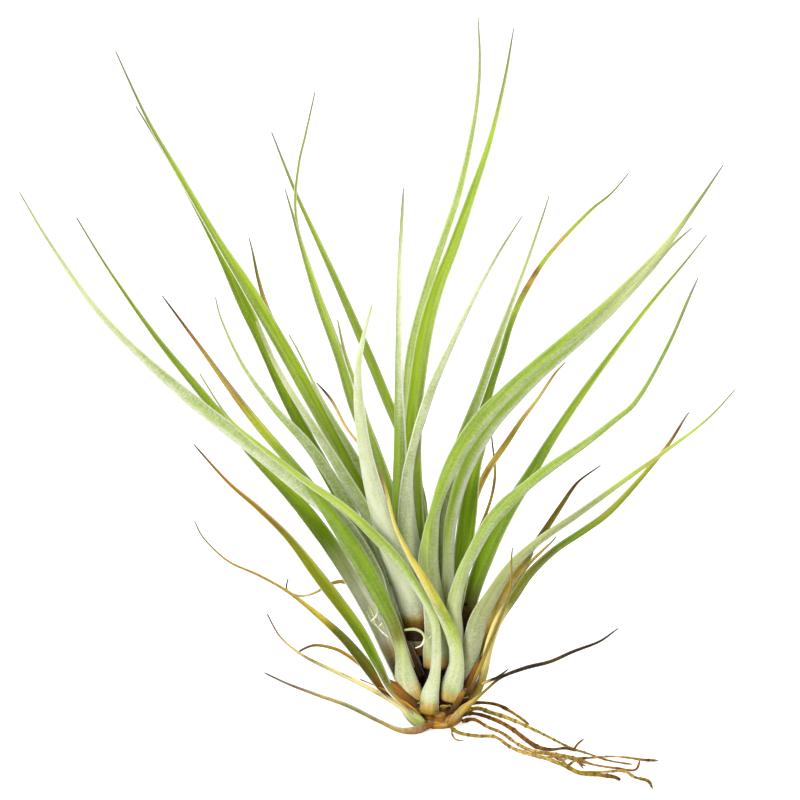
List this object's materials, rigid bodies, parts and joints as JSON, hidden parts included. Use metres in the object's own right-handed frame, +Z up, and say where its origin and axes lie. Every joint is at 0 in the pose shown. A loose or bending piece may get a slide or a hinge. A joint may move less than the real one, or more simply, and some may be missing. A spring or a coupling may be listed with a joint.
{
  "type": "air plant",
  "caption": "Air plant with a rosette of narrow arching channelled leaves on a short stem, dry lower leaves and wiry roots; stands by itself on a flat surface.",
  "frame": {"origin": "centre of the stem's flat underside, on the surface that the plant stands on", "axes": "+Z up, -Y towards the side that faces the viewer, +X to the viewer's right, where the roots trail"},
  "size_m": [0.2246, 0.1416, 0.2342],
  "materials": {
    "leaf_green": "living leaf, fresh green, faintly dusted with fine silver scales",
    "leaf_silver": "living leaf, pale silver green, thickly dusted with fine scales",
    "leaf_gold": "ageing leaf, green below and golden to brown towards the tip",
    "leaf_dry": "dry leaf, tan to dark brown, matt and brittle",
    "stem_bark": "short woody stem with brown leaf scars",
    "root": "wiry root, matt brown"
  },
  "bodies": {
    "root": {"dry_curl_1": "leaf_dry", "dry_curl_2": "leaf_dry", "dry_curl_3": "leaf_dry", "dry_leaf_floor": "leaf_dry", "dry_leaf_left_1": "leaf_dry", "dry_leaf_right_1": "leaf_dry", "dry_leaf_right_2": "leaf_dry", "dry_leaf_right_3": "leaf_dry", "dry_leaf_right_4": "leaf_dry", "dry_leaf_right_5": "leaf_dry", "dry_leaf_right_6": "leaf_dry", "leaf_centre_1": "leaf_green", "leaf_centre_2": "leaf_green", "leaf_centre_3": "leaf_green", "leaf_centre_4": "leaf_silver", "leaf_centre_5": "leaf_silver", "leaf_centre_6": "leaf_silver", "leaf_centre_7": "leaf_green", "leaf_centre_8": "leaf_green", "leaf_front_1": "leaf_silver", "leaf_front_2": "leaf_gold", "leaf_front_3": "leaf_silver", "leaf_high_1": "leaf_green", "leaf_high_2": "leaf_green", "leaf_high_3": "leaf_silver", "leaf_high_4": "leaf_silver", "leaf_high_5": "leaf_green", "leaf_high_6": "leaf_gold", "leaf_left_1": "leaf_green", "leaf_left_2": "leaf_silver", "leaf_left_3": "leaf_green", "leaf_left_4": "leaf_green", "leaf_left_5": "leaf_gold", "leaf_right_1": "leaf_green", "leaf_right_2": "leaf_gold", "leaf_right_3": "leaf_green", "leaf_right_4": "leaf_silver", "leaf_right_5": "leaf_green", "leaf_right_6": "leaf_green", "leaf_right_7": "leaf_green", "leaf_right_8": "leaf_green", "leaf_right_9": "leaf_green", "leaf_tall_1": "leaf_green", "leaf_tall_2": "leaf_green", "root_1": "root", "root_2": "root", "root_3": "root", "root_4": "root", "root_5": "root", "stem": "stem_bark"}
  },
  "joints": []
}
